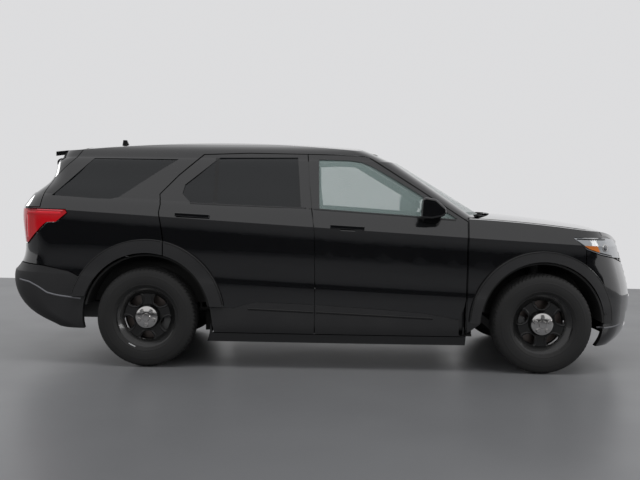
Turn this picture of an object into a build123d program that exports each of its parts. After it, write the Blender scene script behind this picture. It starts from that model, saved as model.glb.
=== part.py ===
from build123d import *
import math
import os

# Police sport utility vehicle, full size, in millimetres.
# X points forward, Y to the vehicle's left and Z up. The origin is on the ground, midway along and across.

# Driving dimensions
LENGTH = 5050.0
WHEELBASE = 3025.0
FRONT_AXLE_X = 1640.0
REAR_AXLE_X = FRONT_AXLE_X - WHEELBASE
AXLE_Z = 381.0
NOSE_X = LENGTH / 2
TAIL_X = -LENGTH / 2
HALF_WIDTH = 1002.0
ROOF_Z = 1763.0
GAP = 7.0
FAR = 1200.0

# Wheels and tyres
TYRE_R = 381.0
RIM_R = 229.0
TYRE_IN_Y = 722.0
TYRE_OUT_Y = 977.0
ARCH_FRONT_R = 478.0
ARCH_REAR_R = 497.0

# The outer surface is two lofts of plan outlines. Each row is one outline:
# z      height at X = 0, and lean, its rise for each millimetre towards the front
# nose   foremost X on the centre line, and the radius of the nose arc
# bow    radius of the front corner
# wide   greatest half width, mid, the X where it is, and the radius of the side arc
# hip    radius of the rear corner
# tail   rearmost X on the centre line, and the radius of the tail arc
COLUMNS = "z lean nose nose_r bow wide mid side_r hip tail tail_r".split()
LOWER_ROWS = [
    (200, 0.000, 2400, 1350, 330, 905, -60, 40000, 240, -2120, 4200),
    (290, 0.000, 2482, 1350, 340, 950, -60, 40000, 250, -2200, 4200),
    (400, 0.000, 2514, 1350, 350, 965, -60, 40000, 255, -2400, 4200),
    (510, -0.020, 2521, 1350, 360, 970, -60, 40000, 260, -2516, 4200),
    (620, -0.040, 2525, 1350, 360, 972, -60, 40000, 260, -2525, 4200),
    (700, -0.045, 2525, 1350, 360, 970, -60, 40000, 260, -2462, 4200),
    (900, -0.050, 2480, 1350, 350, 976, -60, 38000, 250, -2458, 4000),
    (1045, -0.052, 2436, 1350, 340, 978, -60, 36000, 240, -2470, 3800),
    (1088, -0.052, 2426, 1350, 330, 985, -60, 36000, 240, -2466, 3700),
    (1150, -0.048, 2380, 1350, 310, 972, -60, 34000, 230, -2430, 3600),
    (1210, -0.042, 2330, 1350, 290, 948, -60, 32000, 220, -2398, 3500),
    (1275, -0.042, 2260, 1350, 260, 880, -60, 32000, 200, -2320, 3400),
]
UPPER_ROWS = [
    (1120, -0.046, 1490, 1850, 150, 961, -60, 30000, 170, -2410, 3500),
    (1210, -0.042, 1330, 1850, 150, 936, -60, 30000, 170, -2390, 3500),
    (1330, -0.030, 1100, 1900, 140, 888, -60, 28000, 160, -2280, 3400),
    (1480, -0.015, 815, 2100, 130, 822, -60, 26000, 150, -2225, 3300),
    (1600, 0.000, 590, 2300, 120, 760, -60, 24000, 140, -2185, 3200),
    (1650, 0.000, 452, 2300, 120, 728, -60, 22000, 140, -2160, 3200),
    (1690, 0.000, 352, 2300, 120, 688, -60, 20000, 140, -2130, 3200),
    (1716, 0.000, 262, 2300, 120, 630, -60, 18000, 130, -2100, 3200),
    (1732, 0.000, 180, 2300, 110, 560, -60, 17000, 120, -2070, 3200),
    (1800, 0.000, -150, 2300, 110, 360, -60, 16000, 110, -1900, 3200),
]
# Heights of the rows where one loft ends and the next begins
CREASES = (620, 1088, 1600)
# Crown of the roof and of the hood: radius along the car, radius across, top Z and the X of the top
ROOF_CROWN = (13400.0, 5300.0, ROOF_Z, -700.0)


def corner(x_end, r_end, mid, wide, side_r, r):
    """Centre of the corner arc that touches the end arc and the side arc from inside."""
    way = 1 if x_end > mid else -1
    ax, ay, ra = x_end - way * r_end, 0.0, r_end - r
    bx, by, rb = mid, wide - side_r, side_r - r
    dx, dy = bx - ax, by - ay
    d = math.hypot(dx, dy)
    a = (ra * ra - rb * rb + d * d) / (2 * d)
    h = math.sqrt(ra * ra - a * a)
    px, py = ax + a * dx / d, ay + a * dy / d
    found = [(px + s * h * dy / d, py - s * h * dx / d) for s in (1, -1)]
    return max(found, key=lambda c: way * c[0] + c[1])


def touch(centre, r, through):
    """Point on the circle in line with another centre, on the far side from it."""
    dx, dy = through[0] - centre[0], through[1] - centre[1]
    d = math.hypot(dx, dy)
    return centre[0] + dx / d * r, centre[1] + dy / d * r


def arc(centre, r, start, end):
    """The short arc from start to end about a centre."""
    mx, my = (start[0] + end[0]) / 2 - centre[0], (start[1] + end[1]) / 2 - centre[1]
    d = math.hypot(mx, my)
    return ThreePointArc(start, (centre[0] + mx / d * r, centre[1] + my / d * r), end)


def outline(row, nose_in=0.0, side_in=0.0, tail_in=0.0):
    """Left half of a plan outline of tangent arcs, on its own leaning plane, drawn in by the amounts given."""
    v = dict(zip(COLUMNS, row))
    stretch = math.hypot(1, v["lean"])
    nose, tail, mid = (v[k] * stretch for k in ("nose", "tail", "mid"))
    nose, tail, wide = nose - nose_in, tail + tail_in, v["wide"] - side_in
    nose_r, tail_r, side_r = v["nose_r"] - nose_in, v["tail_r"] - tail_in, v["side_r"] - side_in
    bow = max(v["bow"] - side_in, 25.0)
    hip = max(v["hip"] - side_in, 25.0)
    nose_c, tail_c, side_c = (nose - nose_r, 0.0), (tail + tail_r, 0.0), (mid, wide - side_r)
    bow_c = corner(nose, nose_r, mid, wide, side_r, bow)
    hip_c = corner(tail, tail_r, mid, wide, side_r, hip)
    a = touch(nose_c, nose_r, bow_c)
    b = touch(side_c, side_r, bow_c)
    c = touch(side_c, side_r, hip_c)
    d = touch(tail_c, tail_r, hip_c)
    past = 30.0 if nose_in > 0 else 0.0
    tip = (nose_c[0] + math.sqrt(nose_r ** 2 - past ** 2), -past)
    end = (tail_c[0] - math.sqrt(tail_r ** 2 - past ** 2), -past)
    edges = [
        arc(nose_c, nose_r, tip, a),
        arc(bow_c, bow, a, b),
        arc(side_c, side_r, b, c),
        arc(hip_c, hip, c, d),
        arc(tail_c, tail_r, d, end),
        Line(end, tip),
    ]
    plane = Plane(origin=(0, 0, v["z"]), x_dir=(1, 0, v["lean"]), z_dir=(-v["lean"], 0, 1))
    return plane * Wire(edges)


def skin(rows, nose_in=0.0, side_in=0.0, tail_in=0.0):
    """Left half of the solid inside the outer surface, drawn in by the amounts given."""
    rows = list(rows)
    splits = [i for i, row in enumerate(rows) if row[0] in CREASES]
    if nose_in > 0:
        under = tuple(a - 0.4 * (b - a) for a, b in zip(rows[0], rows[1]))
        over = tuple(b + 0.4 * (b - a) for a, b in zip(rows[-2], rows[-1]))
        rows = [under, *rows, over]
        splits = [i + 1 for i in splits]
    ends = [0, *splits, len(rows) - 1]
    lofts = [
        Solid.make_loft([outline(row, nose_in, side_in, tail_in) for row in rows[i:j + 1]])
        for i, j in zip(ends, ends[1:])
    ]
    return lofts[0].fuse(*lofts[1:])


def prism(points, y0, y1):
    """Solid of a side outline in X and Z, from one Y to another."""
    face = make_face(Polyline([(x, 0, z) for x, z in points], close=True))
    return Pos(0, y0, 0) * extrude(face, y1 - y0, dir=(0, 1, 0))


def plan(points, z0, z1):
    """Solid of a plan outline in X and Y, from one height to another."""
    face = make_face(Polyline([(x, y, 0) for x, y in points], close=True))
    return Pos(0, 0, z0) * extrude(face, z1 - z0, dir=(0, 0, 1))


def front(points, x0, x1):
    """Solid of a front outline in Y and Z, from one X to another."""
    face = make_face(Polyline([(0, y, z) for y, z in points], close=True))
    return Pos(x0, 0, 0) * extrude(face, x1 - x0, dir=(1, 0, 0))


def box(x0, x1, y0, y1, z0, z1):
    """Block between six planes."""
    return Pos((x0 + x1) / 2, (y0 + y1) / 2, (z0 + z1) / 2) * Box(x1 - x0, y1 - y0, z1 - z0)


def bar(x, z, r, y0, y1):
    """Cylinder along Y."""
    return Pos(x, (y0 + y1) / 2, z) * Rot(90, 0, 0) * Cylinder(r, y1 - y0)


def crowned(profile, across, top):
    """Solid under a crowned surface: the X and Z profile swung about a far axis along X."""
    face = make_face(profile)
    face = face.rotate(Axis((0, 0, top - across), (1, 0, 0)), -14)
    return revolve(face, Axis((0, 0, top - across), (1, 0, 0)), 28)


def roof_under(drop):
    """Solid under the roof surface, lowered by drop."""
    along, across, top, top_x = ROOF_CROWN
    x0, x1 = -2600.0, 1900.0
    rise = lambda x: top - drop - along + math.sqrt(along ** 2 - (x - top_x) ** 2)
    arch = ThreePointArc((x0, 0, rise(x0)), (top_x, 0, top - drop), (x1, 0, rise(x1)))
    sides = Polyline((x1, 0, rise(x1)), (x1, 0, 900), (x0, 0, 900), (x0, 0, rise(x0)))
    return crowned([arch, sides], across, top)


def hood_under(drop):
    """Solid under the hood surface, lowered by drop."""
    a, b, c, d, e = HOOD_LINE
    up = lambda p: (p[0], 0, p[1] - drop)
    rear = ThreePointArc(up(a), up(b), up(c))
    nose = ThreePointArc(up(c), up(d), up(e))
    sides = Polyline(up(e), (e[0], 0, 0), (a[0], 0, 0), up(a))
    return crowned([rear, nose, sides], HOOD_ACROSS, b[1])


def both(shape):
    """The shape and its mirror image on the other side, as separate solids."""
    return Compound(list(shape.solids()) + list(mirror(shape, Plane.XZ).solids()))


def mirrored(half):
    """The half shape and its mirror image, joined across the middle."""
    half = one(half)
    if half.bounding_box().min.Y < -1:
        half = one(half & box(-3000, 3000, 0, FAR, -100, 2100))
    return half + mirror(half, Plane.XZ)


def other(shape):
    """The mirror image on the right side."""
    return mirror(shape, Plane.XZ)


# Hood surface on the centre line, front axle side to nose, and its radius across
HOOD_LINE = ((1040, 1222), (1560, 1188), (2033, 1134), (2230, 1078), (2470, 905))
HOOD_ACROSS = 9000.0

# Side outlines in X and Z, on the left side and mirrored to the right
FRONT_DOOR = ((1052, 1152), (1052, 560), (1040, 500), (1003, 405), (1003, 278), (-94, 278), (-94, 560),
              (-104, 1043), (-129, 1230), (-150, 1413), (-168, 1649), (77, 1646), (282, 1636), (325, 1616),
              (715, 1370))
REAR_DOOR = ((-101, 278), (-866, 278), (-890, 440), (-1254, 700), (-1254, 960), (-1291, 1185),
             (-1282, 1246), (-1294, 1323), (-1160, 1470), (-980, 1634), (-626, 1650), (-175, 1649),
             (-157, 1413), (-136, 1230), (-111, 1043), (-101, 560))
DOORWAY = ((1059, 1156), (1059, 270), (-878, 270), (-902, 445), (-1262, 690), (-1262, 958), (-1299, 1184),
           (-1290, 1246), (-1302, 1325), (-1166, 1476), (-986, 1641), (-626, 1657), (77, 1653), (284, 1643),
           (331, 1622), (719, 1376))
FRONT_GLASS = ((977, 1172), (711, 1340), (610, 1403), (461, 1489), (321, 1565), (241, 1597), (143, 1608),
               (-85, 1611), (-75, 1232), (592, 1193))
REAR_GLASS = ((-248, 1624), (-857, 1614), (-1110, 1400), (-1125, 1330), (-1060, 1265), (-835, 1257),
              (-215, 1242))
QUARTER_GLASS = ((-1846, 1597), (-2133, 1303), (-1791, 1284), (-1672, 1282), (-1612, 1297),
                 (-1325, 1500), (-1180, 1597))
WINDSCREEN = ((-800, 1200), (800, 1200), (590, 1668), (-590, 1668))
GATE_GLASS = ((-745, 1305), (745, 1305), (640, 1600), (-640, 1600))
FRONT_OPEN = ((985, 1120), (1000, 430), (-40, 400), (-60, 1230), (-100, 1585), (77, 1596), (240, 1590),
              (690, 1330))
REAR_OPEN = ((-150, 400), (-820, 400), (-850, 600), (-1180, 980), (-1215, 1250), (-1110, 1420), (-940, 1590),
             (-626, 1600), (-220, 1598), (-200, 1230))

ABOVE_BELT = prism(((-3000, 1354), (3000, 1090), (3000, 2000), (-3000, 2000)), -50, FAR)
depths = {}


def low(depth):
    """Left half of the body below the windows, drawn in by a depth."""
    if ("low", depth) not in depths:
        depths["low", depth] = skin(LOWER_ROWS, depth, depth, depth)
    return depths["low", depth]


def high(depth):
    """Left half of the cabin under the roof, drawn in by a depth."""
    if ("high", depth) not in depths:
        depths["high", depth] = skin(UPPER_ROWS, depth, depth, depth) & roof_under(depth)
    return depths["high", depth]


def low_wall(shape, depth, start=0.0):
    """The wall inside a shape, between two depths under the lower surface."""
    return (low(start) & shape) - low(depth)


def high_wall(shape, depth, start=0.0):
    """The wall inside a shape, between two depths under the upper surface."""
    return (high(start) & shape) - high(depth)


def side_wall(shape, below, above, start_below=0.0, start_above=0.0):
    """A wall as thick below and above the belt as given."""
    under = low_wall(shape, below, start_below) - ABOVE_BELT
    over = high_wall(shape, above, start_above) & ABOVE_BELT
    return under + over


def one(shape):
    """The largest solid of a shape, without crumbs."""
    return max(shape.solids(), key=lambda s: s.volume)


parts = {}

# Doors, hollow side walls with the windows cut
arch_front = bar(FRONT_AXLE_X, AXLE_Z, ARCH_FRONT_R, 0, FAR)
arch_rear = bar(REAR_AXLE_X, AXLE_Z, ARCH_REAR_R, 0, FAR)
front_outline = prism(FRONT_DOOR, 300, FAR)
rear_outline = prism(REAR_DOOR, 300, FAR) - arch_rear
front_inner = front_outline & box(-80, 1046, 0, FAR, 290, 1640)
rear_inner = (rear_outline & box(-1230, -108, 0, FAR, 290, 1640)) - bar(REAR_AXLE_X, AXLE_Z, 620, 0, FAR)
front_pane = prism(FRONT_GLASS, 300, FAR)
rear_pane = prism(REAR_GLASS, 300, FAR)
for name, outline_, inner_, pane, handle, grip_x in (
    ("front", front_outline, front_inner, front_pane, ((145, 1100),), -5),
    ("rear", rear_outline, rear_inner, rear_pane, ((-1035, 1172),), -2),
):
    door = side_wall(outline_, 25, 20) + side_wall(inner_, 95, 42)
    door = one(door - pane)
    for x, z in handle:
        door = door - Pos(x, 1036, z - 6) * Rot(0, 3, 0) * Cylinder(60, 110, rotation=(0, 90, 0))
    grip = Pos(handle[0][0] + grip_x, 989, handle[0][1] - 2) * Rot(0, 2.5, 0) * Box(262, 14, 30)
    grip = fillet(grip.edges(), 6)
    for x in (-112, 112):
        grip = grip + Pos(handle[0][0] + grip_x + x, 965, handle[0][1] - 2 - x * 0.044) * Box(34, 40, 24)
    parts[name + "_door_left"] = one(door + grip)
    parts[name + "_door_glass_left"] = one(high_wall(pane, 15, 9))

# Body sides: outer wall outside the doorways, inner frame round them, pillars and sills
doorway = prism(DOORWAY, 300, FAR)
side_zone = prism(((1061, 200), (1061, 1184), (1130, 1184), (1130, 1220), (560, 1700), (0, 1900), (-1928, 1900), (-1928, 1700),
                   (-1988, 1600), (-2143, 1440), (-2193, 1330), (-2208, 1208), (-2440, 1208), (-2440, 785),
                   (-2393, 785), (-2190, 770), (-1990, 728),
                   (-1800, 640), (-1400, 640), (-1400, 200)), 606, FAR)
screen = front(WINDSCREEN, 0, 1700)
quarter_pane = prism(QUARTER_GLASS, 300, FAR)
outer_side = side_wall(side_zone, 40, 45) - doorway - screen - quarter_pane - arch_rear
posts = prism(((-1330, 1000), (-1262, 1000), (-1262, 1330), (-1330, 1330)), 606, FAR)
thick = low_wall(posts, 150) - ABOVE_BELT
frame_zone = prism(((1120, 272), (1120, 1180), (720, 1420), (320, 1664), (-1010, 1664), (-1330, 1400), (-1330, 900),
                    (-960, 560), (-920, 272)), 606, FAR)
inner_frame = side_wall(frame_zone, 150, 85, 102, 49)
inner_frame = inner_frame - prism(FRONT_OPEN, 300, FAR) - prism(REAR_OPEN, 300, FAR) - screen
inner_frame = inner_frame - box(1059, 1200, 0, FAR, 100, 1150)
side_lamp_room = prism(((-3000, 1209), (-2010, 1200), (-1995, 1168), (-2087, 1093), (-2160, 1089), (-2182, 1067),
                        (-2321, 925), (-3000, 925)), 600, FAR)
body_side = outer_side - side_lamp_room - box(-3000, -2270, 0, 647, 700, 1215)
body_side = body_side + (inner_frame - bar(REAR_AXLE_X, AXLE_Z, 492, 0, FAR)) + (thick - doorway)
parts["body_sides"] = both(body_side)
parts["quarter_windows"] = both(one(high_wall(quarter_pane, 15, 9)))

# Roof between the windscreen and the gate
roof_whole = roof_under(0)
roof_zone = plan(((700, -50), (700, 600), (-1928, 600), (-1928, -50)), 1560, 1900)
roof_half = high_wall(roof_zone, 30) - screen
parts["roof_panel"] = mirrored(roof_half)
parts["windscreen"] = mirrored(high_wall(screen, 15, 9))

# Gate with its glass, spoiler and lamps
gate_zone = prism(((-3000, 1900), (-1935, 1900), (-1935, 1700), (-1995, 1600), (-2150, 1440), (-2200, 1330),
                   (-2215, 1215), (-2300, 1215), (-2300, 790), (-3000, 790)), -50, FAR)
gate_low = gate_zone & front(((-50, 790), (640, 790), (640, 1215), (1000, 1215), (1000, 1340), (-50, 1340)),
                             -3000, -2000)
gate_high = gate_zone & box(-3000, -1900, -50, FAR, 1215, 1900)
gate = (low_wall(gate_low, 45) - ABOVE_BELT) + (high_wall(gate_high, 38) & ABOVE_BELT)
gate_pane = front(((-50, 1350), (660, 1350), (585, 1600), (-50, 1600)), -3000, -1990)
tail_lamp_zone = prism(((-3000, 1203), (-2016, 1194), (-2003, 1172), (-2090, 1101), (-2163, 1097), (-2189, 1078),
                        (-2328, 936), (-3000, 936)), 406, FAR)
gate_lamp_zone = tail_lamp_zone & box(-3000, -2000, 420, 640, 980, 1150)
plate_pad = box(-2480, -2430, -1, 160, 880, 1050)
gate = one(gate - gate_pane - gate_lamp_zone) + plate_pad - low(45)
for z in (-60.325, 60.325):
    gate = gate - Pos(-2450, 88.9, 965 + z) * Rot(0, 90, 0) * Cylinder(3.5, 200)
spoiler = (roof_under(0) & plan(((-1990, -1), (-1990, 560), (-2180, 600), (-2215, 500), (-2238, 250), (-2245, -1)),
                                1500, 1900)) - roof_under(34) - high(0)
gate = one(gate) + spoiler
parts["liftgate"] = mirrored(gate)
parts["liftgate_glass"] = mirrored(high_wall(gate_pane & gate_zone, 15, 9))
parts["liftgate_lamps"] = both(one(low_wall(gate_lamp_zone, 45)))

# Hood, fenders, cowl and the front bumper with its lamps and grille
hood_top = hood_under(0)
nose_zone = box(1060, 2600, -50, FAR, 150, 1300)
nose_block = (low(0) & nose_zone) & hood_top
hood_core = low(30) & hood_under(30)
nose_shell = nose_block - hood_core
hood_plan = plan(((1146, -50), (1146, 846), (2110, 800), (2230, 640), (2330, 440), (2375, 200), (2385, -50)),
                 900, 1300)
cowl_arc = Pos(1345 - 1900, 0, 1000) * Cylinder(1900, 1000)
hood_half = (nose_shell & hood_plan & prism(((1100, 900), (2600, 985), (2600, 1400), (1100, 1400)), -50, FAR))
hood_half = hood_half - cowl_arc
parts["hood"] = mirrored(hood_half)
headlamp_zone = prism(((1863, 1044), (2162, 1036), (2330, 1010), (2500, 1010), (2500, 850), (2221, 888),
                       (2086, 917), (1966, 957)), 578, FAR)
fender_zone = prism(((1066, 300), (1066, 1300), (2120, 1300), (2120, 1042), (1863, 1049), (1962, 952),
                     (1962, 720), (1700, 600), (1200, 400)), 600, FAR)
fender_side = ((low(0) & nose_zone) & hood_top) - low(38)
fender = one((fender_side - plan(((1000, -60), (1000, 853), (2117, 807), (2300, 500), (2300, -60)), 150, 1300))
             & fender_zone) - arch_front - headlamp_zone
parts["front_fenders"] = both(one(fender))
bumper_zone = prism(((1968, 200), (1968, 949), (2086, 909), (2221, 880), (2330, 840), (2600, 840), (2600, 200)),
                    -50, FAR)
grille_open = front(((-50, 560), (-50, 930), (548, 930), (570, 800), (540, 560)), 2000, 2600)
intake_open = front(((-50, 330), (-50, 450), (600, 450), (600, 330)), 2000, 2600)
bumper = (low(0) & bumper_zone) - low(60) - grille_open - intake_open
parts["front_bumper"] = mirrored(bumper - arch_front)
grille = (low(20) & grille_open & box(2000, 2600, -50, FAR, 570, 925)) - low(50)
parts["grille"] = mirrored(grille)
lamp = (low(0) & headlamp_zone) & hood_under(0)
parts["headlamps"] = both(one(lamp - low(60) - hood_plan))

# Cowl between the hood and the windscreen
cowl_zone = plan(((1075, -50), (1075, 700), (1250, 700), (1335, -50)), 1050, 1128)
cowl = (cowl_zone & (Pos(1336 - 1900, 0, 1000) * Cylinder(1900, 1000)))
parts["cowl"] = mirrored(cowl)

# Rear bumper and tail lamps
rear_bumper_zone = prism(((-3000, 284), (-3000, 776), (-2393, 776), (-2197, 762), (-1990, 721), (-1820, 640),
                          (-1760, 284)), -50, FAR) - bar(REAR_AXLE_X, AXLE_Z, ARCH_REAR_R, 0, FAR)
rear_bumper = (low(0) & rear_bumper_zone) - low(60)
parts["rear_bumper"] = mirrored(rear_bumper)
side_lamp_zone = tail_lamp_zone & box(-3000, -2000, 648, FAR, 930, 1210)
parts["tail_lamps"] = both(one(low_wall(side_lamp_zone, 45)))

# Mouldings over the arches and along the foot of the doors
moulding_front = bar(FRONT_AXLE_X, AXLE_Z, 557, 0, FAR) - arch_front
moulding_rear = bar(REAR_AXLE_X, AXLE_Z, 600, 0, FAR) - arch_rear
flare = skin(LOWER_ROWS, 0, -38, 0)
front_arc = one(((flare & moulding_front) & box(1010, 2300, 600, FAR, 386, 1000)) - low(0))
rear_arc = one(((flare & moulding_rear) & box(-2100, -1261, 600, FAR, 536, 1000)) - low(0))
door_arc = one(((flare & moulding_rear) & box(-1252, -700, 600, FAR, 479, 1000)) - low(0))
parts["arch_mouldings"] = Compound([*both(front_arc).solids(), *both(rear_arc).solids()])
foot = skin(LOWER_ROWS, 0, -12, 0)
front_foot = prism(((-94, 278), (1003, 278), (1000, 405), (956, 412), (739, 450), (428, 473), (-94, 502)),
                   600, FAR)
rear_foot = prism(((-101, 278), (-866, 278), (-896, 467), (-718, 464), (-610, 501), (-531, 514), (-101, 502)),
                  600, FAR)
parts["front_door_cladding_left"] = one((foot & front_foot) - low(0))
parts["rear_door_cladding_left"] = Compound([one((foot & rear_foot) - low(0)), door_arc])

# Floor, firewall, wheel houses and rails
floor = box(-420, 1130, 0, 760, 250, 268) + box(-1000, -420, 0, 760, 412, 430) + box(-440, -420, 0, 760, 250, 430)
floor = floor + box(1112, 1130, 0, 740, 250, 1040) + box(-2330, -1000, 0, 640, 560, 580)
floor = floor + box(-1018, -1000, 0, 760, 412, 580) + box(1130, 2300, 420, 492, 430, 520)
floor = floor + box(-2330, -1018, 540, 600, 500, 562) + box(-2330, -2310, 0, 640, 560, 770)
tunnel = box(-1000, 1130, 0, 160, 250, 420) - box(-1100, 1200, -1, 140, 240, 400)
floor = (floor - box(-1100, 1200, -1, 140, 240, 400)) + tunnel
house_front = (bar(FRONT_AXLE_X, AXLE_Z, 470, 490, 935) - bar(FRONT_AXLE_X, AXLE_Z, 456, 502, 935))
house_front = house_front - box(1000, 2300, 480, 940, -200, 400) - box(1160, 1190, 480, 940, 0, 470)
house_rear = (bar(REAR_AXLE_X, AXLE_Z, 484, 640, 925) - bar(REAR_AXLE_X, AXLE_Z, 470, 652, 925))
house_rear = house_rear - box(-2000, -800, 630, 940, -200, 470)
floor = floor - bar(REAR_AXLE_X, AXLE_Z, 472, 645, 930) + house_front + house_rear
parts["floor_pan"] = floor + mirror(floor, Plane.XZ)

# Engine, tank, exhaust, driveshaft, axle frames and suspension
parts["engine_block"] = box(1250, 1980, -300, 300, 400, 930)
parts["fuel_tank"] = box(-980, -450, -560, 560, 235, 405) - box(-1100, 0, -172, 172, 200, 500)
parts["driveshaft"] = Pos(45, 0, 330) * Rot(0, 90, 0) * Cylinder(38, 2370)
silencer = box(-2080, -1740, -420, 420, 300, 430)
parts["exhaust"] = silencer
sub_front = box(1380, 1460, -440, 440, 215, 290) + box(1830, 1910, -440, 440, 215, 290)
sub_front = sub_front + box(1380, 1910, 380, 440, 215, 290) + box(1380, 1910, -440, -380, 215, 290)
arm_front = plan(((1400, 425), (1890, 425), (1680, 680), (1600, 680)), 235, 265)
sub_front = sub_front + arm_front + mirror(arm_front, Plane.XZ)
strut = Pos(FRONT_AXLE_X, 585, 690) * Cylinder(55, 240)
parts["front_subframe"] = sub_front
parts["front_struts"] = both(strut)
sub_rear = box(-1620, -1540, -440, 440, 260, 340) + box(-1230, -1150, -440, 440, 260, 340)
sub_rear = sub_rear + box(-1620, -1150, 380, 440, 260, 340) + box(-1620, -1150, -440, -380, 260, 340)
sub_rear = sub_rear + box(-1480, -1290, -130, 130, 260, 420)
arm_rear = plan(((-1600, 425), (-1170, 425), (-1320, 700), (-1450, 700)), 280, 310)
hub_rear = box(-1435, -1335, 690, 712, 285, 450) + bar(REAR_AXLE_X, AXLE_Z, 60, 640, 745)
hub_rear = hub_rear + arm_rear
parts["rear_subframe"] = sub_rear + hub_rear + mirror(hub_rear, Plane.XZ)

# Wheels: tyre, rim with five windows, and hub cap
tyre_half = ((TYRE_IN_Y, 250), (TYRE_IN_Y + 8, 300), (TYRE_IN_Y + 20, 352), (TYRE_IN_Y + 45, 374), (800, 381),
             (899, 381), (TYRE_OUT_Y - 45, 374), (TYRE_OUT_Y - 20, 352), (TYRE_OUT_Y - 4, 300),
             (TYRE_OUT_Y - 14, 236), (TYRE_OUT_Y - 22, 230), (TYRE_IN_Y + 22, 230), (TYRE_IN_Y + 12, 236))
rim_half = ((742, 229), (742, 218), (765, 212), (800, 205), (900, 196), (900, 92), (925, 88), (932, 60), (932, 0),
            (880, 0), (880, 80), (888, 185), (790, 192), (760, 202), (742, 208))


def spun(points, x):
    """Ring about a wheel axis, from its outline in Y and radius."""
    face = make_face(Polyline([(x, y, AXLE_Z + r) for y, r in points], close=True))
    return revolve(face, Axis((x, 0, AXLE_Z), (0, 1, 0)), 360)


rim_outline = ((744, 229), (952, 229), (958, 247), (948, 247), (938, 222), (915, 198), (893, 176), (889, 96),
               (903, 88), (903, 0), (870, 0), (870, 84), (876, 190), (792, 206), (752, 215),
               (744, 222))
wheel_window = extrude(Pos(0, 850, 0) * make_face(Polyline(
    [(-24, 0, 112), (24, 0, 112), (56, 0, 160), (34, 0, 178), (-34, 0, 178), (-56, 0, 160)], close=True)),
    90, dir=(0, 1, 0))
wheel_window = fillet(wheel_window.edges().filter_by(Axis.Y), 13)
cap = spun(((904, 84), (932, 84), (946, 76), (952, 50), (953, 0), (904, 0)), 0)
for end, x in (("front", FRONT_AXLE_X), ("rear", REAR_AXLE_X)):
    parts["wheel_cover_" + end + "_left"] = Pos(x, 0, 0) * cap
    rim = spun(rim_outline, x)
    for i in range(5):
        turn = 72 * i + (0 if end == "front" else 36)
        rim = rim - Pos(x, 0, AXLE_Z) * Rot(0, turn, 0) * wheel_window
    parts["wheel_" + end + "_left"] = rim
    parts["tyre_" + end + "_left"] = spun(tyre_half, x)
knuckle = box(1600, 1680, 690, 715, 280, 500) + bar(FRONT_AXLE_X, AXLE_Z, 60, 700, 745)
knuckle = knuckle + bar(FRONT_AXLE_X, AXLE_Z, 165, 748, 770) + bar(FRONT_AXLE_X, AXLE_Z, 70, 740, 860)
parts["knuckle_left"] = knuckle

# Seats, dashboard and steering wheel
dash = prism(((1066, 700), (1066, 1080), (930, 1095), (820, 1060), (790, 960), (850, 820), (900, 700)), -730, 730)
parts["dashboard"] = dash + box(400, 900, -120, 120, 425, 760)
wheel_plane = Rot(0, -62, 0)
steer = Pos(610, 380, 985) * (Rot(0, 65, 0) * Torus(180, 15) + Rot(0, 65, 0) * Box(60, 340, 16)
                              + Rot(0, 65, 0) * Pos(0, 0, 80) * Cylinder(30, 160))
parts["steering_wheel"] = steer
cushion = prism(((560, 390), (560, 540), (480, 560), (60, 520), (-60, 480), (-60, 390)), 170, 660)
back = prism(((60, 500), (-60, 480), (-300, 1130), (-200, 1160)), 180, 650)
rest = prism(((-215, 1150), (-290, 1140), (-330, 1290), (-250, 1300)), 280, 550)
leg = box(0, 500, 220, 260, 268, 395) + box(0, 500, 570, 610, 268, 395)
parts["front_seats"] = both(cushion + back + rest + leg)
bench = prism(((-420, 430), (-400, 600), (-850, 580), (-900, 430)), -620, 620)
bench_back = prism(((-850, 560), (-960, 600), (-1180, 1170), (-1080, 1180)), -620, 620)
parts["rear_bench"] = bench + bench_back

# Mirrors, antenna and wipers
head = Pos(0, 984, 0) * extrude(make_face(Polyline(
    [(682, 0, 1182), (690, 0, 1322), (712, 0, 1336), (790, 0, 1322), (862, 0, 1258), (868, 0, 1220),
     (845, 0, 1196), (760, 0, 1178)], close=True)), 150, dir=(0, 1, 0))
head = fillet(head.edges(), 14) - Pos(676, 1059, 1256) * Box(16, 128, 118)
arm_mirror = Pos(0, 900, 0) * extrude(make_face(Polyline(
    [(700, 0, 1150), (820, 0, 1140), (850, 0, 1205), (740, 0, 1205)], close=True)), 110, dir=(0, 1, 0))
parts["mirror_left"] = one(head + arm_mirror - low(0) - high(0))
wiper = Pos(1234, -545, 1160) * Cylinder(14, 64) + Pos(1216, -310, 1187) * Rot(0, 0, 5) * Box(18, 500, 12)
parts["wipers"] = Compound([one(wiper), *(Pos(0, 640, 0) * one(wiper)).solids()])
fin = prism(((-1791, 1700), (-1780, 1775), (-1750, 1775), (-1717, 1700)), -14, 14) - roof_whole
parts["roof_antenna"] = fin

for name in ("front_door", "rear_door", "front_door_glass", "rear_door_glass", "front_door_cladding",
             "rear_door_cladding", "mirror", "knuckle", "wheel_cover_front", "wheel_cover_rear", "wheel_front", "wheel_rear", "tyre_front", "tyre_rear"):
    parts[name + "_right"] = other(parts[name + "_left"])

os.makedirs("parts", exist_ok=True)
for name, shape in parts.items():
    export_step(shape, "parts/" + name + ".step")
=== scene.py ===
"""Looks of a police sport utility vehicle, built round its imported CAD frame."""
import math

import bmesh
import bpy
import numpy as np
from mathutils import Matrix, Vector
from mathutils.bvhtree import BVHTree


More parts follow.
